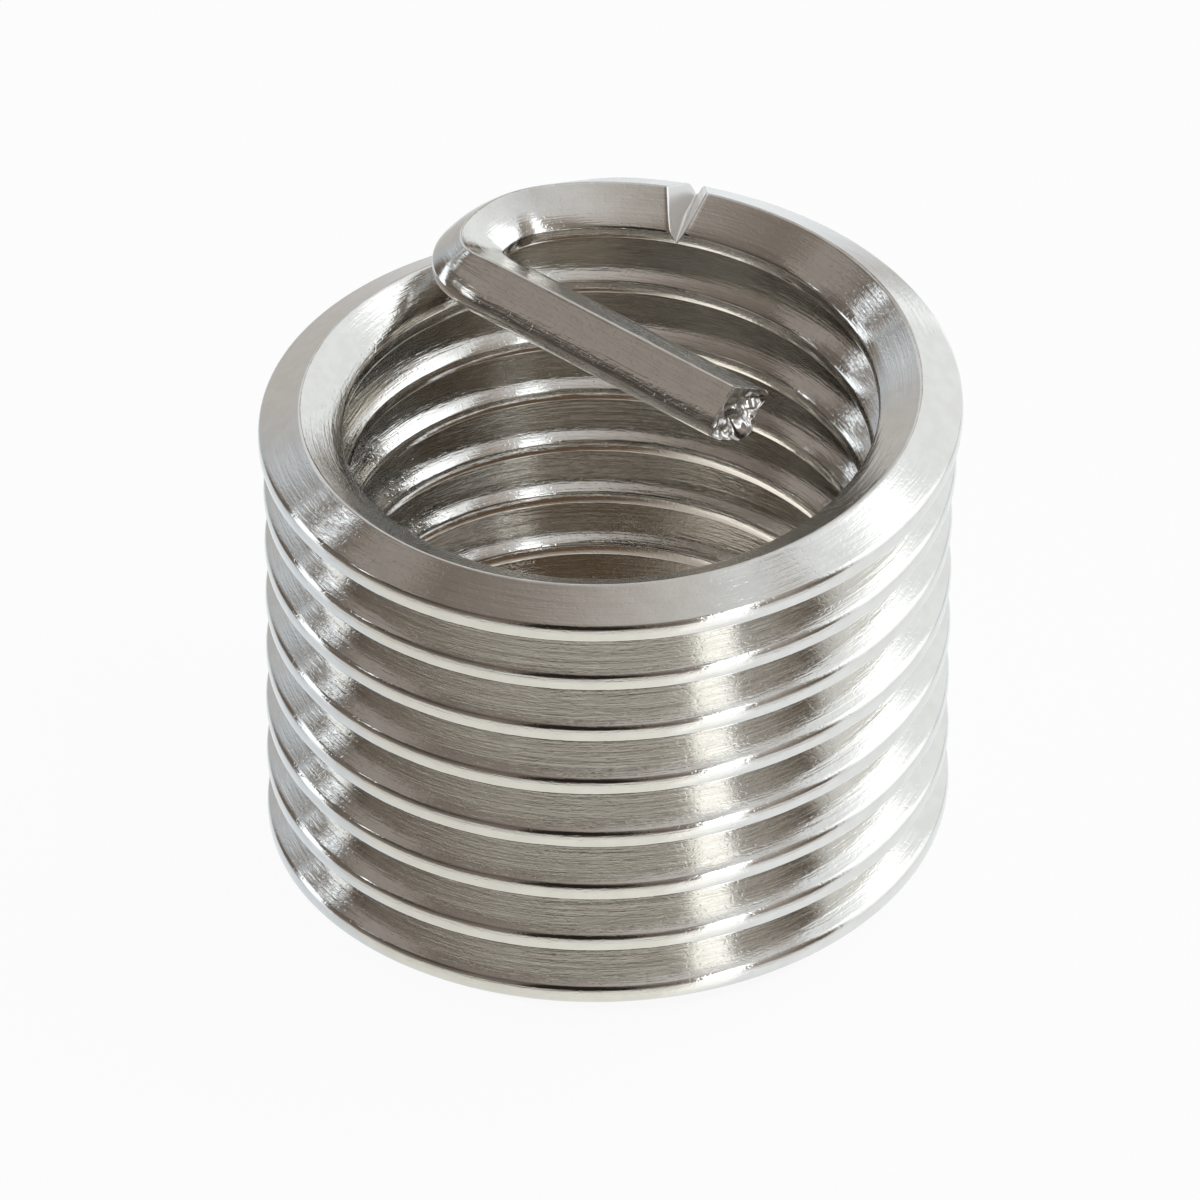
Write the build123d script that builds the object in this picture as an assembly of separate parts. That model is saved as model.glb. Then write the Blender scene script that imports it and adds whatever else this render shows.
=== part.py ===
from build123d import *
from build123d.topology import SkipClean
import os
from math import acos, atan2, ceil, cos, degrees, hypot, pi, radians, sin, tan

# Helical thread insert for an M12 x 1.5 screw, in its free state (not yet wound into a hole).
# One diamond-section wire is coiled right-handed. At the top it bends into a tang across the bore.
# Millimetres, +Z up. The origin is on the coil axis, level with the lowest side corner of the wire.

# ---- wire section: a diamond with a flat on its inner and its outer crest ----
flank_angle = 30.0          # each flank to the plane square to the axis, for 60 degree threads
wire_height = 1.39          # side corner to side corner, along the axis
outer_flat = 0.37           # flat on the outer crest
inner_flat = 0.335          # flat on the inner crest

# ---- coil ----
coil_radius = 7.40          # outer crest, along the even turns
coil_gap = 0.03             # free space between neighbouring turns
even_turns = 5.75           # turns of one radius, from the free end up
flare_turns = 2.25          # turns that open outward above them, up to the bend
flare_growth = 0.25         # what the radius gains over the flared turns
level_turns = 0.08          # last share of a turn, over which the climb dies out

# ---- bend and tang at the top, measured along the line of the side corners ----
first_bend_radius = 2.30    # wider part of the bend, where the wire leaves its circle
first_bend_angle = 47.0     # what the wire turns through there
second_bend_inside = 0.09   # tighter part, into the tang: what stays open inside the inner crest
tang_direction = -41.0      # plan angle that the tang points to
tang_offset = 1.25          # line of the tang, from the coil axis
tang_reach = 2.55           # tang past the place where its line is nearest to the axis

# ---- break-off notch across the upper flanks of the top turn ----
notch_lead = 28.8           # plan angle from the notch on to the bend
notch_depth = 0.80          # below the upper side corner
notch_angle = 58.0          # included angle of the V

# ---- how finely the coil is built up ----
segments_per_turn = 16      # equal short lengths of the even turns
stations_per_turn = 24      # sections that the flared turns run through
sliver = 0.01               # a face whose middle is nearer than this to an end section lies in it

# ---- worked out from the sizes above ----
flank_slope = tan(radians(flank_angle))
outer_depth = (wire_height - outer_flat) / 2 / flank_slope
inner_depth = (wire_height - inner_flat) / 2 / flank_slope
second_bend_radius = second_bend_inside + inner_depth
corner_radius = coil_radius - outer_depth
bore_radius = corner_radius - inner_depth
top_radius = corner_radius + flare_growth
pitch = wire_height + coil_gap
total_turns = even_turns + flare_turns


def find_bend_direction():
    """Plan angle where the wire leaves its circle, for its two arcs to end on the line of the tang."""
    first_reach = top_radius - first_bend_radius
    second_reach = first_bend_radius - second_bend_radius
    across = first_reach + second_reach * cos(radians(first_bend_angle))
    along = second_reach * sin(radians(first_bend_angle))
    turn = acos((tang_offset + second_bend_radius) / hypot(across, along)) - atan2(along, across)
    return tang_direction + 90 + degrees(turn)


bend_direction = find_bend_direction()
start_direction = bend_direction - 360 * total_turns
flare_start = start_direction + 360 * even_turns
notch_direction = bend_direction - notch_lead


def plan_point(direction, radius, height=0.0):
    angle = radians(direction)
    return Vector(radius * cos(angle), radius * sin(angle), height)


def turn_radius(direction):
    """Radius of the side corners at a plan angle, counted on through the turns."""
    share = (direction - flare_start) / (bend_direction - flare_start)
    return corner_radius + flare_growth * (1 - cos(pi * min(1, max(0, share)))) / 2


def turn_height(direction):
    """Height of the wire's centre there: an even climb, which dies out just before the bend."""
    turns = (direction - start_direction) / 360
    levelled = max(0, turns - total_turns + level_turns)
    return wire_height / 2 + pitch * (turns - levelled ** 2 / 2 / level_turns)


def section_plane(centre, heading):
    """Upright plane across the wire: its X points out of the coil, its Y up and its Z backward."""
    return Plane(centre, x_dir=plan_point(heading - 90, 1), z_dir=plan_point(heading, -1))


def section_corners(overrun=0.0):
    """The six corners, out from and up from the wire's centre; an overrun sharpens both crests."""
    outer_half = outer_flat / 2 - overrun * flank_slope
    inner_half = inner_flat / 2 - overrun * flank_slope
    out = outer_depth + overrun
    into = -inner_depth - overrun
    top = wire_height / 2
    return [(out, -outer_half), (out, outer_half), (0, top),
            (into, inner_half), (into, -inner_half), (0, -top)]


def wire_section(plane, overrun=0.0):
    return make_face(plane * Polyline(*section_corners(overrun), close=True)).face()


def skin(length, *ends):
    """Faces of a length of wire, without the sections at its ends."""
    return [face for face in length.faces()
            if all(abs(end.to_local_coords(face.center()).Z) > sliver for end in ends)]


def even_coil():
    """The even turns: one short length, its crests true to two cylinders, repeated up the helix."""
    count = ceil(even_turns * segments_per_turn)
    angle = 360 * even_turns / count
    climb = pitch * even_turns / count
    start = section_plane(plan_point(0, corner_radius), 90)
    end = section_plane(plan_point(angle, corner_radius, climb), angle + 90)
    overrun = min(outer_flat, inner_flat) / 4 / flank_slope
    lead = Helix(pitch, climb, corner_radius)
    axis = Edge.make_line((0, 0, 0), (0, 0, climb))
    rough = sweep(wire_section(start, overrun), lead, binormal=axis)
    tube = Cylinder(coil_radius, 4 * wire_height) - Cylinder(bore_radius, 5 * wire_height)
    crested = rough & tube
    spots = [Location((0, 0, wire_height / 2 + i * climb), (0, 0, start_direction + i * angle))
             for i in range(count)]
    return [face.moved(spot) for spot in spots for face in skin(crested, start, end)]


def flare_corner(out, up):
    """Line of one corner of the section, along the flared turns."""
    def place(direction):
        return plan_point(direction, turn_radius(direction) + out, turn_height(direction) + up)

    count = ceil(flare_turns * stations_per_turn)
    span = bend_direction - flare_start
    shares = [i / count for i in range(count + 1)]
    points = [place(flare_start + span * share) for share in shares]
    nudge = 1e-5
    first = (place(flare_start + span * nudge) - points[0]) / nudge
    last = (points[-1] - place(bend_direction - span * nudge)) / nudge
    return Edge.make_spline(points, tangents=[first, last], parameters=shares, scale=False)


def flared_coil():
    lines = [flare_corner(out, up) for out, up in section_corners()]
    return [Face.make_surface_from_curves(lines[i - 1], lines[i]) for i in range(len(lines))]


def bend_and_tang():
    """Two arcs and the straight tang, all at the height of the coil's top end."""
    height = turn_height(bend_direction)
    heading = bend_direction + 90
    turned = heading + first_bend_angle
    final = tang_direction + 360
    start = section_plane(plan_point(bend_direction, top_radius, height), heading)
    first_centre = start.origin + plan_point(heading + 90, first_bend_radius)
    middle = section_plane(first_centre + plan_point(turned - 90, first_bend_radius), turned)
    second_centre = middle.origin + plan_point(turned + 90, second_bend_radius)
    last = section_plane(second_centre + plan_point(final - 90, second_bend_radius), final)
    nearest = plan_point(final + 90, tang_offset, height)
    tip = section_plane(nearest + plan_point(final, tang_reach), final)

    first = revolve(wire_section(start), Axis(first_centre, (0, 0, 1)), first_bend_angle)
    second = revolve(wire_section(middle), Axis(second_centre, (0, 0, 1)), final - turned)
    tang = extrude(wire_section(last), -(tip.origin - last.origin).length)
    sides = skin(first, start, middle) + skin(second, middle, last) + skin(tang, last, tip)
    return sides + [wire_section(tip)]


def notch_cutter():
    """A V bar that lies along the radius, from inside the bore to outside the coil."""
    corner_height = turn_height(notch_direction) + wire_height / 2
    rise = wire_height
    half_width = (notch_depth + rise) * tan(radians(notch_angle / 2))
    inner_end = bore_radius - inner_depth
    plane = section_plane(plan_point(notch_direction, inner_end, corner_height), notch_direction)
    v_shape = Polyline((-half_width, rise), (0, -notch_depth), (half_width, rise), close=True)
    return extrude(make_face(plane * v_shape), -(coil_radius + outer_depth - inner_end))


def thread_insert():
    """One wire, sewn from its lengths between its sheared free end and the tip of its tang."""
    foot = plan_point(start_direction, corner_radius, turn_height(start_direction))
    free_end = wire_section(section_plane(foot, start_direction + 90))
    wire = Solid(Shell([free_end] + even_coil() + flared_coil() + bend_and_tang()))
    with SkipClean():   # the short lengths stay faces of their own, with no crest joined up for turns
        return wire - notch_cutter()


os.makedirs("parts", exist_ok=True)
export_step(thread_insert(), "parts/thread_insert.step")
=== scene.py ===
# %% [markdown]
# # A helical thread insert
#
# This is a spring of diamond-shaped steel wire that lines a tapped hole. Its outer ridges fit the
# hole's thread, and its inner ridges are the thread that the screw meets. The tang across the top
# is for the tool that winds it in, and the small notch is where the tang breaks off afterwards.
#
# The whole object is one wire, so the whole lesson is one mesh: a line, a section that travels
# along it, and a finish that follows it. The frame comes first, because it holds the true sizes.

# %% Load the frame
from math import acos, atan2, cos, degrees, hypot, pi, radians, sin, tan

import bpy
import numpy as np
from mathutils import Euler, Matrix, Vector, noise


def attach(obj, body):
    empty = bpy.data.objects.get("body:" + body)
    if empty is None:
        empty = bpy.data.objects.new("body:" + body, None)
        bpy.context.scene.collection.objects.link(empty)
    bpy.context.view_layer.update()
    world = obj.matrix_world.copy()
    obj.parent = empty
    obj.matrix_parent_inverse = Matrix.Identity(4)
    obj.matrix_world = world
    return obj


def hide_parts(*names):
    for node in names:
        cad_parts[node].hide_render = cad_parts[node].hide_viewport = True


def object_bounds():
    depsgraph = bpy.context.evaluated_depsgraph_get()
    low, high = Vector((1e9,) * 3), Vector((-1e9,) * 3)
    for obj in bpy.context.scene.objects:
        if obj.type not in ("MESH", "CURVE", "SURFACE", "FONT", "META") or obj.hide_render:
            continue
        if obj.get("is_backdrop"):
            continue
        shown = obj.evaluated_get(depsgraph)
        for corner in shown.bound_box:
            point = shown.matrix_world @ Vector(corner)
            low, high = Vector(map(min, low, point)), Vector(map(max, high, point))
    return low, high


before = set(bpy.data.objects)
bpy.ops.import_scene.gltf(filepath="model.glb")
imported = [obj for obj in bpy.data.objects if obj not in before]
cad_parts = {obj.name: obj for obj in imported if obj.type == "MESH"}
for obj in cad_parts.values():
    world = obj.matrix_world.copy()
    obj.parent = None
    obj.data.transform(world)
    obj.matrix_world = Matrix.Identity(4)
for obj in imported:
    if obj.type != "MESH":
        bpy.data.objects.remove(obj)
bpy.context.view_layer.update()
MM = 0.001

# %% [markdown]
# ## Camera
#
# A small part is nearly always taken with a long lens from some way off, so that its near and far
# sides come out the same size. A long lens here does the same: the turns look like stacked
# ellipses, with hardly any perspective. The camera is placed by an angle above the table and a
# distance from the point it looks at, which is easier to tune than three coordinates.

# %% Place the camera
look_at = Vector((-0.17, 0.0, 6.40)) * MM
camera_elevation = 37.6
camera_distance = 444.0 * MM
lens_length = 616.0    # in millimetres of focal length, as Blender counts it


def place_camera(target, elevation, distance, lens):
    data = bpy.data.cameras.new("camera")
    data.lens = lens
    data.clip_start = distance / 20
    data.clip_end = distance * 20
    camera = bpy.data.objects.new("camera", data)
    tilt = radians(elevation)
    camera.location = target + Vector((0, -cos(tilt), sin(tilt))) * distance
    camera.rotation_euler = Euler((pi / 2 - tilt, 0, 0))
    bpy.context.scene.collection.objects.link(camera)
    bpy.context.scene.camera = camera
    return camera


camera = place_camera(look_at, camera_elevation, camera_distance, lens_length)
bpy.context.scene.view_settings.view_transform = "Standard"
print("camera at", [round(x / MM, 1) for x in camera.location], "mm")

# %% [markdown]
# ## Light
#
# Bright metal has hardly any colour of its own: what the eye reads as steel is a picture of the
# studio. So the studio is the material's other half. This one is a pale tent on a white table:
# white at the right and at the back, a grey ceiling, and dark at the front left, where the tent is
# open and the lens looks in. The dark side draws the thin black line along each rounded edge. A
# tall narrow lamp stands at the front right, a broad one at the right, and a thin one at the back
# left.
#
# The tent is painted on the world by two angles, as on a map of the sky: the azimuth round the
# part and the elevation above it. Each wall or lamp is a soft-edged box on that map.

# %% Helpers for node trees


def node(tree, kind, **settings):
    """A new node with its settings; every tree below is built with it."""
    made = tree.nodes.new(kind)
    for key, value in settings.items():
        setattr(made, key, value)
    return made


def math_node(tree, operation, *values):
    """A Math node, whose inputs are numbers or the outputs of other nodes."""
    made = node(tree, "ShaderNodeMath", operation=operation)
    for socket, value in zip(made.inputs, values):
        if isinstance(value, (int, float)):
            socket.default_value = value
        else:
            tree.links.new(value, socket)
    return made.outputs[0]


def ramp(tree, value, start, end, low=0.0, high=1.0, smooth=True):
    """A Map Range node: low at start, high at end, and level beyond them."""
    made = node(tree, "ShaderNodeMapRange",
                interpolation_type="SMOOTHSTEP" if smooth else "LINEAR")
    tree.links.new(value, made.inputs["Value"])
    for name, number in zip(("From Min", "From Max", "To Min", "To Max"), (start, end, low, high)):
        made.inputs[name].default_value = number
    return made.outputs["Result"]


def blend_colours(tree, share, first, second):
    """A colour Mix node; first and second are colours or the outputs of other nodes."""
    made = node(tree, "ShaderNodeMix", data_type="RGBA")
    tree.links.new(share, made.inputs["Factor"])
    for socket, value in ((made.inputs["A"], first), (made.inputs["B"], second)):
        if isinstance(value, tuple):
            socket.default_value = (*value, 1.0)
        else:
            tree.links.new(value, socket)
    return made.outputs["Result"]


def blend_shaders(tree, share, first, second):
    """A Mix Shader node."""
    made = node(tree, "ShaderNodeMixShader")
    for socket, value in zip(made.inputs, (share, first, second)):
        tree.links.new(value, socket)
    return made.outputs[0]


# %% Make a sky map of the tent
world = bpy.data.worlds.new("studio_tent")
bpy.context.scene.world = world
world.use_nodes = True
tent = world.node_tree
tent.nodes.clear()
ray = node(tent, "ShaderNodeSeparateXYZ")
tent.links.new(node(tent, "ShaderNodeTexCoord").outputs["Generated"], ray.inputs[0])
in_degrees = 180 / pi
azimuth = math_node(tent, "ARCTAN2", ray.outputs["Y"], ray.outputs["X"])
azimuth = math_node(tent, "MULTIPLY", azimuth, in_degrees)
elevation = math_node(tent, "MULTIPLY", math_node(tent, "ARCSINE", ray.outputs["Z"]), in_degrees)


def leaning(start, lean):
    """The azimuth of a lamp that leans over more and more above an elevation."""
    above = math_node(tent, "MAXIMUM", math_node(tent, "SUBTRACT", elevation, start), 0.0)
    return math_node(tent, "MULTIPLY_ADD", math_node(tent, "MULTIPLY", above, above), lean, azimuth)


lamp_azimuth = leaning(30.0, -0.019)
left_azimuth = leaning(8.0, 0.028)


def soft_box(value, low, high, soft):
    """1 between low and high, and 0 further than soft outside them."""
    rise = ramp(tent, value, low - soft, low)
    fall = ramp(tent, value, high, high + soft, 1.0, 0.0)
    return math_node(tent, "MULTIPLY", rise, fall)


# %% Paint the walls and the lamps
patches = (    # what is read, from, to, softness, then the same in elevation, and what is added
    (azimuth, -115, -86, 8, -13, 50, 9, -0.12),           # gap in the tent
    (azimuth, -200, -150, 20, 18, 42, 12, -0.07),         # dark corner at the back left
    (lamp_azimuth, -58, -42, 18, -90, 90, 5, 0.20),       # wall at the front right
    (azimuth, -84, -50, 12, 36, 66, 12, 0.08),            # its top, which is wider
    (lamp_azimuth, -60, -51, 4, -90, 90, 5, 2.2),         # tall narrow lamp
    (lamp_azimuth, -54, -47, 3, 30, 90, 8, 1.2),          # its wider top
    (lamp_azimuth, -40, -14, 8, 32, 54, 10, 0.13),        # wall between the lamps
    (lamp_azimuth, -13, 66, 9, -90, 90, 5, 0.94),         # white wall at the right
    (lamp_azimuth, -6, 24, 10, -14, 44, 10, 0.38),        # its bright middle
    (lamp_azimuth, -4, 26, 10, 30, 46, 10, 0.45),         # and its top
    (azimuth, 68, 86, 6, -32, 2, 6, 0.42),                # white cloth, low at the right
    (azimuth, 68, 84, 6, 8, 24, 6, -0.15),                # and a fold above it
    (azimuth, 84, 132, 14, -90, 34, 14, 0.46),            # white cloth at the back
    (azimuth, 84, 126, 12, 34, 90, 14, 0.34),             # its upper part
    (azimuth, 152, 180, 10, 47, 56, 5, 0.20),             # and a dimmer part at the left
    (left_azimuth, 160, 169, 4, -34, 30, 6, 1.6),         # thin lamp at the back left
    (azimuth, 145, 148, 3, 39, 42, 2, 1.6),               # small bulb above it
    (azimuth, 174, 178, 2, 36, 40, 2, 2.2),               # and one at the left
    (azimuth, -190, -120, 8, -20, 26, 8, 0.05),           # wall at the front left
    (azimuth, -16, 44, 8, -27, -4, 6, -0.26))             # dark edge of the table
walls = 0.14    # the grey of the tent where nothing lights it
for read, low, high, soft, bottom, top, fade, change in patches:
    share = soft_box(read, low, high, soft)
    if bottom > -90 or top < 90:
        share = math_node(tent, "MULTIPLY", share, soft_box(elevation, bottom, top, fade))
    walls = math_node(tent, "MULTIPLY_ADD", share, change, walls)
print("walls and lamps:", len(patches), "patches")

# %% Add the ceiling and the table
ceiling_level, ceiling_to_right, ceiling_to_back = 0.56, 0.9, 0.25
ceiling_darkest, ceiling_lightest = 0.26, 0.85
table_level, table_to_right = 0.98, 0.13
ceiling = math_node(tent, "MULTIPLY_ADD", ray.outputs["X"], ceiling_to_right, ceiling_level)
ceiling = math_node(tent, "MULTIPLY_ADD", ray.outputs["Y"], ceiling_to_back, ceiling)
ceiling = math_node(tent, "MAXIMUM", ceiling, ceiling_darkest)
ceiling = math_node(tent, "MINIMUM", ceiling, ceiling_lightest)
table = math_node(tent, "MULTIPLY_ADD", ray.outputs["X"], table_to_right, table_level)
lamp_on_table = math_node(tent, "MULTIPLY", soft_box(azimuth, -64, -47, 6),
                          ramp(tent, elevation, -52, -40, 0.1, 0.35))
table = math_node(tent, "ADD", lamp_on_table, table)


def blend_levels(share, first, second):
    """A Mix node for two levels of light."""
    made = node(tent, "ShaderNodeMix", data_type="FLOAT")
    tent.links.new(share, made.inputs["Factor"])
    tent.links.new(first, made.inputs["A"])
    tent.links.new(second, made.inputs["B"])
    return made.outputs["Result"]


on_ceiling = ramp(tent, elevation, 50, 72)
on_table = ramp(tent, elevation, -8, -34)
level = blend_levels(on_ceiling, walls, ceiling)
level = blend_levels(on_table, level, table)

# %% Colour the light
# dim corners are lit by warm light from the room, lit cloth is white, the back left is cool, and
# the front of the table is cream
glow_colour = blend_colours(tent, ramp(tent, level, 0.15, 0.85, smooth=False),
                            (1.15, 0.99, 0.86), (0.96, 1.0, 1.04))
cool = math_node(tent, "MULTIPLY", soft_box(azimuth, 135, 160, 18), ramp(tent, level, 0.3, 0.5))
cream = math_node(tent, "MULTIPLY", ramp(tent, azimuth, -40, -75), on_table)
glow_colour = blend_colours(tent, cool, glow_colour, (0.93, 1.0, 1.08))
glow_colour = blend_colours(tent, cream, glow_colour, (1.003, 1.0, 0.946))

# %% Show plain white to the camera
glow = node(tent, "ShaderNodeBackground")
tent.links.new(glow_colour, glow.inputs["Color"])
tent.links.new(level, glow.inputs["Strength"])
white = node(tent, "ShaderNodeBackground")
white.inputs["Color"].default_value = (1.0, 1.0, 1.0, 1.0)
white.inputs["Strength"].default_value = 1.0
to_camera = node(tent, "ShaderNodeLightPath").outputs["Is Camera Ray"]
either = blend_shaders(tent, to_camera, glow.outputs[0], white.outputs[0])
tent.links.new(either, node(tent, "ShaderNodeOutputWorld").inputs["Surface"])
print("tent:", len(tent.nodes), "nodes")

# %% [markdown]
# ## Floor
#
# The part stands on a sheet of white paper. A camera would burn the paper out to pure white and
# leave only a breath of shadow at the foot of the coil. A mix does that: mostly light of its own
# for rays from the camera, and a little real white paper under it, which still takes the shadow.
#
# In the steel, the table is already painted on the tent, so the paper lets shiny rays through to
# it, except for the round of paper under the coil itself. That round glows for shiny rays with
# painted light and shade for what the lamp throws down the bore: a painted pool of light at the
# back left, and painted shade, dim and warm, at the front right.

# %% A sheet of paper


def paper_sheet(name, outline, height):
    """A flat sheet on the stage, with an empty node tree for its look."""
    mesh = bpy.data.meshes.new(name)
    mesh.from_pydata([(x, y, height) for x, y in outline], [], [tuple(range(len(outline)))])
    made = bpy.data.objects.new(name, mesh)
    bpy.context.scene.collection.objects.link(made)
    made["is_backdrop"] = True
    material = bpy.data.materials.new(name)
    material.use_nodes = True
    material.node_tree.nodes.clear()
    mesh.materials.append(material)
    return made, material.node_tree


def white_paper(tree, whiteness):
    matt = node(tree, "ShaderNodeBsdfDiffuse")
    matt.inputs["Color"].default_value = (whiteness, whiteness, whiteness, 1.0)
    return matt.outputs[0]


# %% Lay the paper
reach = 60 * MM
burn = 0.94    # share of plain white that the camera sees
corners = [(-reach, -reach), (reach, -reach), (reach, reach), (-reach, reach)]
sheet, tree = paper_sheet("paper", corners, 0)
path = node(tree, "ShaderNodeLightPath")
burnt_share = math_node(tree, "MULTIPLY", path.outputs["Is Camera Ray"], burn)
burnt_out = blend_shaders(tree, burnt_share, white_paper(tree, 0.95),
                          node(tree, "ShaderNodeEmission").outputs[0])
passing = blend_shaders(tree, path.outputs["Is Glossy Ray"], burnt_out,
                        node(tree, "ShaderNodeBsdfTransparent").outputs[0])
tree.links.new(passing, node(tree, "ShaderNodeOutputMaterial").inputs["Surface"])
print("paper:", round(2 * reach / MM), "mm square")

# %% Lay the round of paper under the coil
round_radius = 6.2 * MM
round_lift = 0.01 * MM
turns_of_circle = [2 * pi * k / 48 for k in range(48)]
under = [(round_radius * cos(a), round_radius * sin(a)) for a in turns_of_circle]
disc, tree = paper_sheet("round_with_painted_light", under, round_lift)
disc.visible_camera = False
where = node(tree, "ShaderNodeSeparateXYZ")
tree.links.new(node(tree, "ShaderNodeTexCoord").outputs["Object"], where.inputs[0])
left_back = math_node(tree, "MULTIPLY_ADD", where.outputs["Y"], 0.5,
                      math_node(tree, "MULTIPLY", where.outputs["X"], -1.0))
# painted light and shade: the round glows bright towards the back left and dark and warm towards the
# front right, for shiny rays only
painted_light_share = ramp(tree, left_back, -0.2 * MM, 5.0 * MM)
lit = node(tree, "ShaderNodeEmission")
tree.links.new(blend_colours(tree, painted_light_share, (0.13, 0.09, 0.06), (1.35, 1.29, 1.20)),
               lit.inputs["Color"])
in_steel = blend_shaders(tree, node(tree, "ShaderNodeLightPath").outputs["Is Glossy Ray"],
                         white_paper(tree, 0.8), lit.outputs[0])
tree.links.new(in_steel, node(tree, "ShaderNodeOutputMaterial").inputs["Surface"])
print("round of paper:", round(2 * round_radius / MM, 1), "mm across")

# %% [markdown]
# ## Sizes of the wire and its coil
#
# These are the sizes that the frame's own model was built from, in millimetres. The wire is a
# diamond with its points cut flat: 60 degree ridges outward for the tapped hole, and 60 degree
# ridges inward for the screw. Working in millimetres and scaling once at the end keeps the
# numbers readable.

# %% Write the sizes down
wire_height = 1.39
outer_flat = 0.37
inner_flat = 0.335
flank_slope = tan(radians(30.0))    # half of the ridges' 60 degrees
outer_depth = (wire_height - outer_flat) / 2 / flank_slope
inner_depth = (wire_height - inner_flat) / 2 / flank_slope

coil_radius = 7.40
turn_gap = 0.03
pitch = wire_height + turn_gap
even_turns = 5.75
flare_turns = 2.25
flare_growth = 0.25
level_turns = 0.08    # the climb eases off over this last share of a turn
total_turns = even_turns + flare_turns
corner_radius = coil_radius - outer_depth
top_radius = corner_radius + flare_growth

first_bend_radius = 2.30
first_bend_angle = 47.0
second_bend_room = 0.09    # from the inner crest to the middle of the tight arc
second_bend_radius = second_bend_room + inner_depth
tang_direction = -41.0
tang_offset = 1.25
tang_reach = 2.55
notch_before_bend = 28.8    # degrees round the coil
print("wire", wire_height, "mm tall and", round(outer_depth + inner_depth, 3), "mm thick")

# %% [markdown]
# ## Where the coil ends and the bend begins
#
# The top turn leaves its circle, goes round a wide arc and then a tight one, and comes back across
# the bore as the tang. The plan angle where that starts isn't free: only one angle makes the two
# arcs end on the line of the tang. It is solved here, in the same way as in the frame's model, so
# the two can't drift apart.

# %% Find the start of the bend
across = (top_radius - first_bend_radius
          + (first_bend_radius - second_bend_radius) * cos(radians(first_bend_angle)))
along = (first_bend_radius - second_bend_radius) * sin(radians(first_bend_angle))
swing = acos((tang_offset + second_bend_radius) / hypot(across, along)) - atan2(along, across)
bend_direction = tang_direction + 90 + degrees(swing)
start_direction = bend_direction - 360 * total_turns
flare_start = start_direction + 360 * even_turns
notch_direction = bend_direction - notch_before_bend
print("the wire leaves its circle at", round(bend_direction, 2), "degrees")

# %% [markdown]
# ## The line of the wire
#
# The line runs through the middle of the diamond. Along the coil it is a function of one plan
# angle, counted on through the turns: a radius that opens out over the last turns, and a height
# that climbs one pitch a turn. No hand-wound or machine-wound spring is perfect, so a very small
# waver is added to both: a hundredth or two of a millimetre, slow enough to read as springiness.

# %% Line of the coil
radius_waver = 0.018
height_waver = 0.012


def waver(direction, seed):
    """A slow, repeatable waver between about -1 and 1."""
    turns = (direction - start_direction) / 360
    return (np.sin(2 * pi * (0.83 * turns + 0.37 * seed)) * 0.5
            + np.sin(2 * pi * (2.21 * turns + 0.71 * seed)) * 0.3
            + np.sin(2 * pi * (4.60 * turns + 0.13 * seed)) * 0.2)


def flared(direction):
    """0 on the even turns, rising softly to 1 at the bend."""
    share = np.clip((direction - flare_start) / (bend_direction - flare_start), 0, 1)
    return (1 - np.cos(pi * share)) / 2


def turn_radius(direction):
    return corner_radius + flare_growth * flared(direction)


def turn_height(direction):
    turns = (direction - start_direction) / 360
    levelled = np.maximum(0, turns - total_turns + level_turns)
    return wire_height / 2 + pitch * (turns - levelled ** 2 / 2 / level_turns)


rings_per_turn = 150
steady = np.linspace(start_direction, bend_direction, int(total_turns * rings_per_turn) + 1)
print(len(steady), "rings along", round(total_turns, 2), "turns")

# %% [markdown]
# ## The section
#
# Rolled wire never has knife edges. Each of the six corners gets a small radius, because it is
# the rounded corners that catch the light and draw the bright and dark lines of the thread. The
# flats are a touch full in the middle, as rolling leaves them. More points sit near the corners
# than in the middle of a flank, so that the shading bends where the metal bends. The inner flanks
# turn over a little before they reach the crest, and elsewhere the flanks stay flat.

# %% Draw the section
outer_round = 0.13
inner_round = 0.08
side_round = 0.085
inner_turn = 0.24     # how far from the inner crest the flanks start to turn over
turned_share = 0.18   # and how much they have turned in at the crest
flat_fullness = 0.010
corner_steps = 4
section_corners = [(outer_depth, -outer_flat / 2), (outer_depth, outer_flat / 2),
                   (0, wire_height / 2), (-inner_depth, inner_flat / 2),
                   (-inner_depth, -inner_flat / 2), (0, -wire_height / 2)]


def rounded_corner(before, here, after, radius, steps):
    """Points of the arc that rounds one corner."""
    to_before = (before - here) / np.linalg.norm(before - here)
    to_after = (after - here) / np.linalg.norm(after - here)
    half = acos(float(np.clip(to_before @ to_after, -1, 1))) / 2
    middle = (to_before + to_after) / np.linalg.norm(to_before + to_after)
    centre = here + middle * radius / sin(half)
    first = here + to_before * radius / tan(half) - centre
    sweep = pi - 2 * half
    turned = [first @ np.array([[cos(a), sin(a)], [-sin(a), cos(a)]])
              for a in np.linspace(0, sweep, steps + 1)]
    return [centre + t for t in turned]


def draw_section():
    """Points round the wire, as reach out from its line and height above it."""
    corners = [np.array(c, float) for c in section_corners]
    radii = [outer_round, outer_round, side_round, inner_round, inner_round, side_round]
    arcs = [rounded_corner(corners[i - 1], corners[i], corners[(i + 1) % 6], radii[i], corner_steps)
            for i in range(6)]
    spread = (0.04, 0.2, 0.4, 0.6, 0.8, 0.96)
    to_inner = (0.04, 0.3, 0.55, 0.70, 0.79, 0.87, 0.94)
    shares = {0: (0.2, 0.5, 0.8), 3: (0.2, 0.5, 0.8), 2: to_inner,
              4: tuple(1 - share for share in to_inner[::-1])}
    points = []
    for i, arc in enumerate(arcs):
        following = arcs[(i + 1) % 6][0]
        run = following - arc[-1]
        points += arc
        for share in shares.get(i, spread):
            fullness = flat_fullness * sin(pi * share) if i in (0, 3) else 0.0
            points.append(arc[-1] + run * share + np.array([np.sign(arc[-1][0]) * fullness, 0]))
    points = np.array(points)
    # the inner flanks turn over a little before they reach the crest
    near = np.clip((-points[:, 0] - inner_depth + inner_turn) / inner_turn, 0, 1)
    points[:, 1] *= 1 - turned_share * near ** 2
    return points


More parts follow.
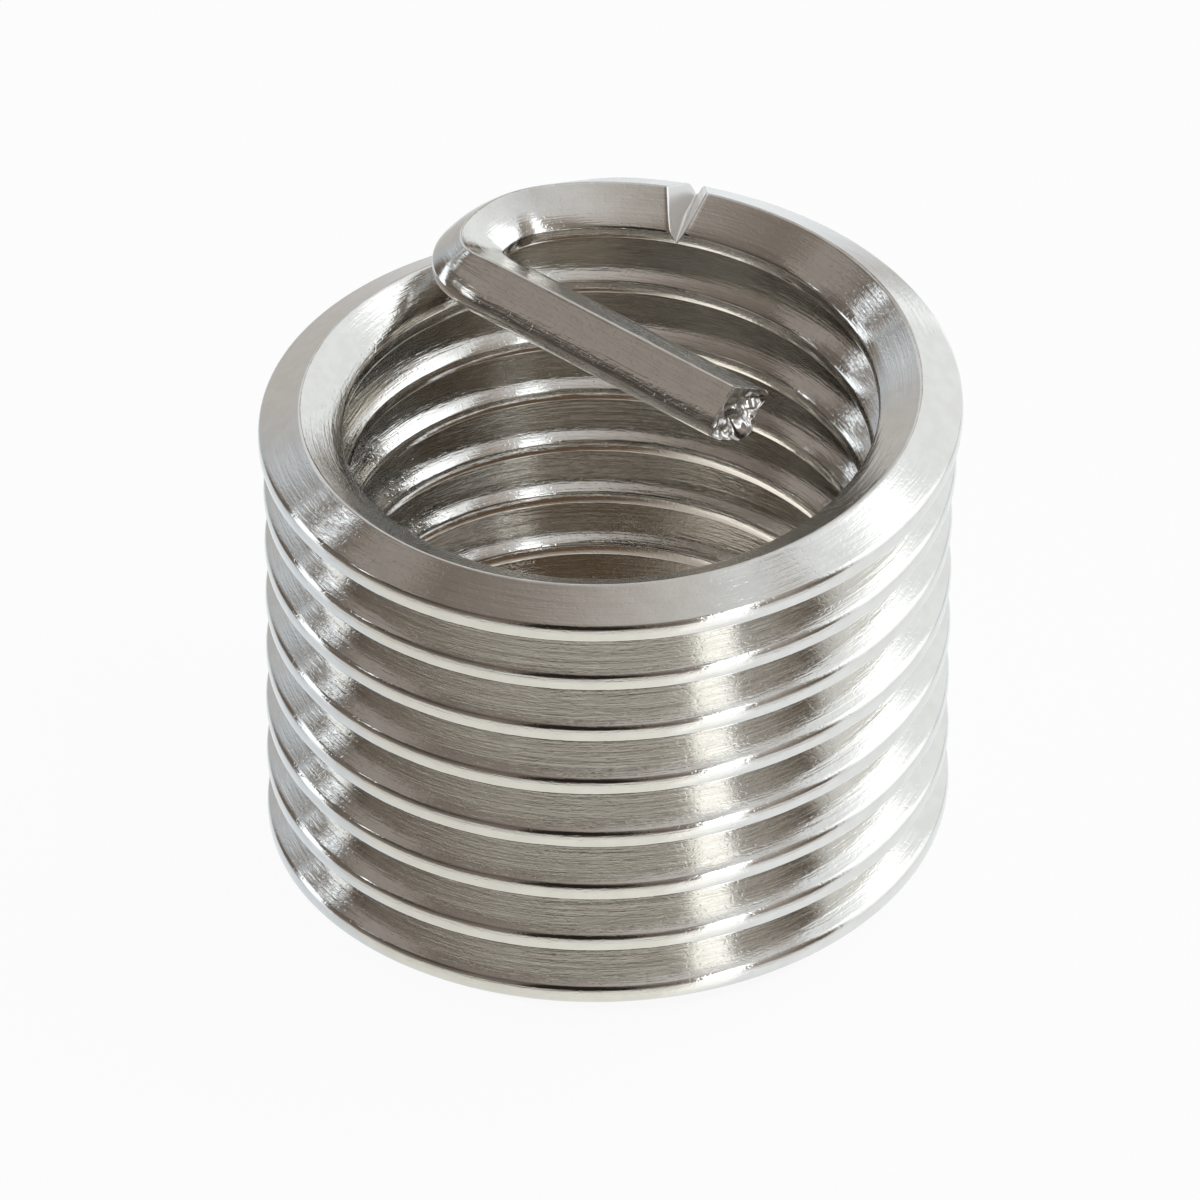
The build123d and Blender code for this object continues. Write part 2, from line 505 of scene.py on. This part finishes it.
section = draw_section()
girth = np.r_[0, np.cumsum(np.linalg.norm(np.roll(section, -1, 0) - section, axis=1))]
print(len(section), "points round the wire,", round(float(girth[-1]), 2), "mm")

# %% [markdown]
# ## The notch
#
# A small V is pressed across the top of the wire, so that the tang snaps off there and nowhere
# else. A Boolean would cut it, but it would leave long thin triangles that shade badly. Here the
# rings close to the notch are slid along the wire instead, until their points lie on the edges
# and the floor of the V, and the points between are lowered onto its two faces. The mesh then
# follows the notch exactly.

# %% Slide the rings onto the notch
notch_depth = 0.80
floor_height = wire_height / 2 - notch_depth
notch_slope = tan(radians(29.0))
notch_floor = 0.03    # half the width of the V at its floor
notch_zone = 6.0      # degrees on each side within which the rings are moved
lip_rise = 0.016      # how far the lips stand up


def notch_half(up):
    """Half the width of the V at the height of a point of the section."""
    return np.maximum(notch_floor, (up - floor_height) * notch_slope)


def notch_shares():
    """Where each ring lies: 0 on the floor of the V, 1 on its lips, 2 at the edge of the zone."""
    inside = np.linspace(0, 1, 9)
    lip = np.array([1.03, 1.08, 1.14, 1.22])
    outside = np.linspace(1.33, 2, 9)
    one_way = np.r_[inside, lip, outside]
    return np.r_[-one_way[:0:-1], one_way]


def notch_directions(shares, up, radius):
    """Plan angle of every point of the rings in the zone."""
    reach = np.degrees(notch_half(up) / radius)[None, :]
    size = np.abs(shares)[:, None]
    inner = reach * np.minimum(size, 1)
    outer = (notch_zone - reach) * np.clip(size - 1, 0, 1)
    return notch_direction + np.sign(shares)[:, None] * (inner + outer)


def notch_lowering(shares, up):
    """How far every point goes down, less the small rise that pressing leaves along the lips."""
    size = np.abs(shares)[:, None]
    above = np.maximum(0, up - floor_height)[None, :]
    soft = np.sqrt(np.minimum(size, 1) ** 2 + 0.02) - 0.01
    sunk = above * np.clip(1 - soft, 0, 1)
    lip = lip_rise * np.exp(-((size - 1.06) / 0.07) ** 2) * (above > 0.15)
    return sunk - lip


print("notch:", notch_depth, "mm deep and", round(2 * float(notch_half(wire_height / 2)), 2), "mm wide")

# %% [markdown]
# ## Rings of the coil
#
# Now every ring of the coil can be placed: a plan angle for each of its points, the section's
# reach out from the line, and its height above it. NumPy does all of them at once. Close to the
# bend the wire is already a little rounder, and its outer ridge starts to sink.

# %% Soften the section near the bend
outer_softening = 0.22
inner_softening = 0.34
ridge_pull = 0.44


def soft_step(value):
    """0 to 1, with level ends."""
    value = np.clip(value, 0, 1)
    return value * value * (3 - 2 * value)


def softened(out, up, run):
    """The section, a little rounder where the wire is bent, at a run past the bend's start."""
    share = outer_softening * soft_step((run + 2.2) / 2.2) * soft_step((3.4 - run) / 2.4)
    inner_share = inner_softening * soft_step((run + 2.0) / 1.6) * soft_step((3.2 - run) / 1.6)
    reach = np.where(out > 0, outer_depth, inner_depth)
    half = wire_height / 2
    angle = np.arctan2(up / half, out / reach)
    rounder = np.where(out > 0, share, inner_share)
    return (out + (reach * np.cos(angle) - out) * rounder,
            up + (half * np.sin(angle) - up) * rounder)


def pulled_in(run):
    """Share by which the outer ridge is pulled in, at a run past the bend's start."""
    return ridge_pull * soft_step((run + 2.2) / 3.0) * soft_step((4.0 - run) / 2.4)


print("the outer ridge is pulled in by", ridge_pull, "of its depth at most")

# %% Place the rings of the coil
out_of, up_of = section[:, 0], section[:, 1]
top_lean = 0.05    # the top turns sit a little to the right, and a little tighter


def coil_points(directions, up):
    """Points of the wire at plan angles given for each point of each ring."""
    angle = np.radians(directions)
    run = (angle - radians(bend_direction)) * top_radius
    out, up = softened(out_of * np.ones_like(run), up, run)
    out = np.where(out > 0, 1 - pulled_in(run), 1) * out
    radius = turn_radius(directions) + out + radius_waver * waver(directions, 1)
    height = turn_height(directions) + up + height_waver * waver(directions, 2)
    lean = top_lean * flared(directions)
    return np.stack([(radius - lean) * np.cos(angle) + lean, (radius - lean) * np.sin(angle),
                     height], axis=-1)


before = steady[steady < notch_direction - notch_zone]
after = steady[steady > notch_direction + notch_zone]
shares = notch_shares()
in_zone = notch_directions(shares, up_of, top_radius + out_of)
whole = np.ones((1, len(section)))
directions = np.concatenate([before[:, None] * whole, in_zone, after[:, None] * whole])
ups = np.concatenate([up_of * np.ones((len(before), 1)),
                      up_of[None, :] - notch_lowering(shares, up_of),
                      up_of * np.ones((len(after), 1))])
coil = coil_points(directions, ups)
coil_run = np.radians(directions - start_direction) * corner_radius
print("coil:", coil.shape[0], "rings of", coil.shape[1], "points")

# %% [markdown]
# ## The bend and the tang
#
# Where wire is bent tightly on its edge, the outside of the bend is stretched and pulled in, and
# the inside is squeezed and swells. That is why the outer ridge fades through the bend and the
# wire looks narrower there. Each ring of the two arcs has its section changed a little by that
# rule, strongest where the tighter arc begins.

# %% Place the rings of the bend and the tang


def plan(direction, radius=1.0):
    angle = radians(direction)
    return np.array([radius * cos(angle), radius * sin(angle), 0.0])


bend_height = float(turn_height(bend_direction) + height_waver * waver(bend_direction, 2))
start_radius = top_radius - top_lean + radius_waver * float(waver(bend_direction, 1))
bend_start = plan(bend_direction, start_radius)
bend_start[0] += top_lean
heading = bend_direction + 90
turned = heading + first_bend_angle
final = tang_direction + 360
first_centre = bend_start + plan(heading + 90, first_bend_radius)
middle = first_centre + plan(turned - 90, first_bend_radius)
second_centre = middle + plan(turned + 90, second_bend_radius)
last = second_centre + plan(final - 90, second_bend_radius)
nearest = plan(final + 90, tang_offset)
tang_length = float((nearest + plan(final, tang_reach) - last) @ plan(final))
wide_steps, tight_steps, tang_steps = 24, 36, 60

stations = []    # point on the line, heading, distance past the start of the bend
gone = 0.0
for angle in np.linspace(heading, turned, wide_steps + 1)[1:]:
    reached = gone + radians(angle - heading) * first_bend_radius
    stations.append((first_centre + plan(angle - 90, first_bend_radius), angle, reached))
gone += radians(first_bend_angle) * first_bend_radius
for angle in np.linspace(turned, final, tight_steps + 1)[1:]:
    reached = gone + radians(angle - turned) * second_bend_radius
    stations.append((second_centre + plan(angle - 90, second_bend_radius), angle, reached))
gone += radians(final - turned) * second_bend_radius
for share in np.linspace(0, 1, tang_steps + 1)[1:]:
    stations.append((last + plan(final) * tang_length * share, final, gone + tang_length * share))
print(len(stations), "stations from the bend to the tip")

# %% Squeeze the section through the bend
squeeze_middle = radians(first_bend_angle) * first_bend_radius + 0.35
squeeze_spread = 1.3
ridge_narrowing = 0.30
inner_swell = 0.03
shoulder_drop = 0.09     # how far the top shoulder of the diamond is pressed down
shoulder_width = 0.34


def squeeze(reached):
    """How much of the bend's squeezing a ring has, from 0 to 1."""
    return np.exp(-((reached - squeeze_middle) / squeeze_spread) ** 2)


def bent_section(reached):
    """The section at a distance past the start of the bend."""
    amount = squeeze(reached)
    out, up = softened(out_of, up_of, reached)
    on_crest = soft_step(out / outer_depth * 4 - 3)
    up = up * (1 - ridge_narrowing * soft_step((reached - 1.0) / 3.0) * on_crest)
    outer = out > 0
    out[outer] *= 1 - pulled_in(reached)
    out[~outer] *= 1 + inner_swell * amount
    shoulder = np.exp(-(out / shoulder_width) ** 2) * (up > 0)
    up -= shoulder_drop * amount * shoulder
    return out, up


tail = []
for point, direction, reached in stations:
    out, up = bent_section(reached)
    outward = plan(direction - 90)
    ring = point[None, :] + out[:, None] * outward[None, :]
    ring[:, 2] = bend_height + up
    tail.append(ring)
tail = np.array(tail)
tail_run = coil_run[-1].mean() + np.array([s[2] for s in stations])[:, None] * whole
print("bend and tang:", len(tail), "rings, tang", round(tang_length, 2), "mm straight")

# %% [markdown]
# ## Skin
#
# The rings are joined into one tube of quads. The UV map isn't for pictures here: it holds real
# millimetres, along the wire in U and round it in V, so that the drawing marks can run along the
# wire through all eight turns, the bend and the tang.

# %% Skin the rings
rings = np.concatenate([coil, tail])
runs = np.concatenate([coil_run, tail_run])
ring_count, point_count = rings.shape[:2]


def skin_faces(ring_count, point_count):
    """Quads between each ring and the next."""
    ring = np.arange(ring_count - 1)[:, None] * point_count
    point = np.arange(point_count)[None, :]
    following = (point + 1) % point_count
    quads = np.stack([ring + point, ring + point_count + point,
                      ring + point_count + following, ring + following], axis=-1)
    return quads.reshape(-1, 4)


def skin_uv(runs, girth):
    """U and V in millimetres, for the four corners of every quad."""
    low = np.broadcast_to(girth[None, :-1], (len(runs) - 1, len(girth) - 1))
    high = np.broadcast_to(girth[None, 1:], low.shape)
    here, there = runs[:-1], runs[1:]
    here_next, there_next = np.roll(here, -1, 1), np.roll(there, -1, 1)
    uv = np.stack([np.stack([here, low], -1), np.stack([there, low], -1),
                   np.stack([there_next, high], -1), np.stack([here_next, high], -1)], axis=-2)
    return uv.reshape(-1, 2)


faces = skin_faces(ring_count, point_count)
uvs = skin_uv(runs, girth)
print(len(faces), "quads")

# %% [markdown]
# ## The two ends
#
# The wire was cut off at the bottom with a shear, which leaves a plain flat end. The tip of the
# tang was torn off: its face is grey and pitted, and its lip is ragged. Both are polar grids,
# rings that shrink to the middle of the section. The torn one has many more points, and each is
# pushed along the wire by layers of noise: long waves for the shape of the tear, short ones for
# its grain.

# %% Close the sheared end
end_shares = (0.985, 0.9, 0.6, 0.3, 0.0)
end_ring = rings[0]
end_centre = end_ring.mean(0)
end_rings = np.array([end_ring] + [end_centre + (end_ring - end_centre) * s for s in end_shares])
end_faces = skin_faces(len(end_rings), point_count)[:, ::-1]
print("sheared end:", len(end_faces), "quads")

# %% Tear the tip
tip_density = 4    # points of the torn face for each point of the wire
tip_points = point_count * tip_density


def dense(ring, times):
    """The same ring with several points for each of its own."""
    following = np.roll(ring, -1, 0)
    steps = np.arange(times)[None, :, None] / times
    return (ring[:, None] + (following - ring)[:, None] * steps).reshape(-1, 3)


def rough(place, size, seed):
    """Noise at a point given in millimetres."""
    return noise.noise(Vector(place) / size + Vector((seed, 2 * seed, 3 * seed)))


def layered(place, layers):
    return sum(height * rough(place, size, seed) for height, size, seed in layers)


tear_waves = ((0.18, 0.55, 3.1), (0.12, 0.21, 5.3))        # height, length and seed of each
tear_grains = ((0.012, 0.09, 7.7), (0.003, 0.03, 1.9))
tear_hollow = 0.22    # how far the middle of the face is sunk
tip_base = dense(tail[-1], tip_density)
tip_axis = plan(final)
tip_centre = tip_base.mean(0)
joint = -0.02      # the first layer stays flat, just inside the tube
layers = []
for share, back in ((1.0, joint), (1.0, 0.02), (1.006, 0.05), (0.995, 0.06), (0.97, 0.03),
                    *[(s, 0.0) for s in np.linspace(0.93, 0.0, 26)]):
    layer = tip_centre + (tip_base - tip_centre) * share
    on_rim = share > 0.965
    for k in range(tip_points):
        wave = layered(layer[k], tear_waves)
        grain = layered(layer[k], tear_grains)
        hollow = -tear_hollow * (1 - share ** 2) if not on_rim else 0.0
        push = back + (wave + 0.5 * grain if on_rim else wave + 1.6 * grain + hollow)
        layer[k] = layer[k] + tip_axis * (joint if back == joint else push)
    layers.append(layer)
tip_rings = np.array(layers)
tip_faces = skin_faces(len(tip_rings), tip_points)
print("torn tip:", len(tip_faces), "quads")

# %% [markdown]
# ## One mesh
#
# The tube and its two ends become one object. It is shaded smooth, since every edge is a real
# small radius. The tip and the faces of the notch keep materials of their own, because torn metal
# and pressed metal are duller than drawn metal.

# %% Gather the parts of the mesh
drawn_slot, torn_slot, pressed_slot = 0, 1, 2
in_notch = np.full((ring_count - 1, point_count), drawn_slot)
# between the lips of the notch, and above its floor, the faces are pressed
cut = np.r_[np.zeros(len(before)), (np.abs(shares) < 0.99), np.zeros(ring_count)][:ring_count - 1]
over = up_of > floor_height + 0.02
in_notch[np.ix_(cut > 0, over & np.roll(over, -1))] = pressed_slot
parts = [(rings, faces, uvs, in_notch.ravel()), (end_rings, end_faces, None, drawn_slot),
         (tip_rings, tip_faces, None, torn_slot)]
all_points, all_faces, all_uvs, slots = [], [], [], []
count = 0
for block, quads, block_uv, slot_number in parts:
    flat = block.reshape(-1, 3)
    all_points.append(flat)
    all_faces.append(quads + count)
    if block_uv is None:    # the ends have no drawing lines, and take theirs from X and Z
        block_uv = flat[quads.reshape(-1)][:, [0, 2]]
    all_uvs.append(block_uv)
    slots.append(np.zeros(len(quads), int) + slot_number)
    count += len(flat)
points = np.concatenate(all_points) * MM
quads = np.concatenate(all_faces)
uv_values = np.concatenate(all_uvs)
print(len(parts), "parts,", len(points), "points")

# %% Make the mesh
mesh = bpy.data.meshes.new("coiled_wire")
mesh.vertices.add(len(points))
mesh.vertices.foreach_set("co", points.astype(np.float32).ravel())
mesh.loops.add(quads.size)
mesh.loops.foreach_set("vertex_index", quads.astype(np.int32).ravel())
mesh.polygons.add(len(quads))
mesh.polygons.foreach_set("loop_start", (np.arange(len(quads)) * 4).astype(np.int32))
mesh.polygons.foreach_set("material_index", np.concatenate(slots).astype(np.int32))
uv_layer = mesh.uv_layers.new(name="wire_mm")
uv_layer.uv.foreach_set("vector", uv_values.astype(np.float32).ravel())
mesh.update(calc_edges=True)
mesh.validate()
mesh.shade_smooth()
wire = bpy.data.objects.new("coiled_wire", mesh)
bpy.context.scene.collection.objects.link(wire)
print("wire:", len(mesh.vertices), "points,", 2 * len(mesh.polygons), "triangles")

# %% [markdown]
# ## The drawn finish
#
# Stainless wire is pulled through dies and then rolled, so it carries very fine lines along its
# length, a little waviness, a faint grain and a few tiny dents. The lines are noise stretched far
# along U: they go into the roughness and, as a very shallow bump, into the shading. Metal's
# colour goes in the base colour, a warm light grey, which also tints light more each time it
# bounces between two turns.

# %% Start the drawn steel
drawn = bpy.data.materials.new("drawn_steel")
drawn.use_nodes = True
tree = drawn.node_tree
shader = tree.nodes["Principled BSDF"]
shader.inputs["Metallic"].default_value = 1.0
shader.inputs["Anisotropic"].default_value = 0.4
shader.inputs["Anisotropic Rotation"].default_value = 0.25

map_mm = node(tree, "ShaderNodeUVMap", uv_map="wire_mm").outputs["UV"]


def stretched_noise(scale_along, scale_round, detail, seed):
    """Noise in the wire's own millimetres; a small first scale gives long lines."""
    mapping = node(tree, "ShaderNodeMapping")
    mapping.inputs["Scale"].default_value = (scale_along, scale_round, 1.0)
    mapping.inputs["Location"].default_value = (seed, seed * 1.7, 0.0)
    tree.links.new(map_mm, mapping.inputs["Vector"])
    made = node(tree, "ShaderNodeTexNoise", noise_dimensions="2D")
    made.inputs["Scale"].default_value = 1.0
    made.inputs["Detail"].default_value = detail
    tree.links.new(mapping.outputs[0], made.inputs["Vector"])
    return made.outputs["Fac"]


# %% Mix the drawn steel
long_lines = stretched_noise(0.22, 9.0, 4.0, 3.0)
short_lines = stretched_noise(2.0, 26.0, 2.0, 11.0)
grain = stretched_noise(13.0, 15.0, 1.0, 37.0)
mottle = stretched_noise(2.2, 2.6, 3.0, 23.0)
dents = ramp(tree, stretched_noise(8.0, 14.0, 1.0, 51.0), 0.56, 0.74)

tree.links.new(ramp(tree, short_lines, 0.3, 0.7, 0.07, 0.14), shader.inputs["Roughness"])

tint = blend_colours(tree, ramp(tree, mottle, 0.3, 0.7), (0.682, 0.662, 0.622), (0.716, 0.698, 0.657))
tree.links.new(tint, shader.inputs["Base Color"])

height = math_node(tree, "MULTIPLY", long_lines, 1.5)
for layer_height, amount in ((short_lines, 0.7), (grain, 0.15), (dents, -0.3), (mottle, 0.3)):
    height = math_node(tree, "MULTIPLY_ADD", layer_height, amount, height)
bump = node(tree, "ShaderNodeBump")
bump.inputs["Strength"].default_value = 1.0
bump.inputs["Distance"].default_value = 0.003 * MM
tree.links.new(height, bump.inputs["Height"])
tree.links.new(bump.outputs["Normal"], shader.inputs["Normal"])
mesh.materials.append(drawn)
print("drawn steel:", len(tree.nodes), "nodes")

# %% [markdown]
# ## The torn face and the notch
#
# Broken steel is greyer and grainier than drawn steel, with small bright facets among dull pits.
# One fine noise gives both: where it is high the steel is lighter, and smoother as well. The two
# faces of the notch were pressed, not drawn: they are plain, and a little rough.

# %% Mix the torn steel
torn = bpy.data.materials.new("torn_steel")
torn.use_nodes = True
torn_tree = torn.node_tree
torn_shader = torn_tree.nodes["Principled BSDF"]
torn_shader.inputs["Metallic"].default_value = 1.0
pits = node(torn_tree, "ShaderNodeTexNoise")
pits.inputs["Scale"].default_value = 5000.0
pits.inputs["Detail"].default_value = 3.0
place = node(torn_tree, "ShaderNodeTexCoord").outputs["Object"]
torn_tree.links.new(place, pits.inputs["Vector"])
torn_tint = blend_colours(torn_tree, ramp(torn_tree, pits.outputs["Fac"], 0.3, 0.7),
                          (0.30, 0.28, 0.26), (0.74, 0.72, 0.69))
torn_tree.links.new(torn_tint, torn_shader.inputs["Base Color"])
torn_tree.links.new(ramp(torn_tree, pits.outputs["Fac"], 0.3, 0.7, 0.30, 0.12),
                    torn_shader.inputs["Roughness"])
mesh.materials.append(torn)
print("torn steel:", len(torn_tree.nodes), "nodes")

# %% Mix the pressed steel
pressed = bpy.data.materials.new("pressed_steel")
pressed.use_nodes = True
pressed_shader = pressed.node_tree.nodes["Principled BSDF"]
for name, value in (("Metallic", 1.0), ("Roughness", 0.32), ("Base Color", (0.74, 0.72, 0.69, 1.0))):
    pressed_shader.inputs[name].default_value = value
mesh.materials.append(pressed)
print("materials:", [material.name for material in mesh.materials])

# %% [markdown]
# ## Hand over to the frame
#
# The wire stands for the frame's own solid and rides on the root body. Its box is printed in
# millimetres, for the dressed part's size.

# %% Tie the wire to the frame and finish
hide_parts("thread_insert")
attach(wire, "root")
low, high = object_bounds()
print("visual box in mm:", [round(x / MM, 3) for x in (*low, *high)])
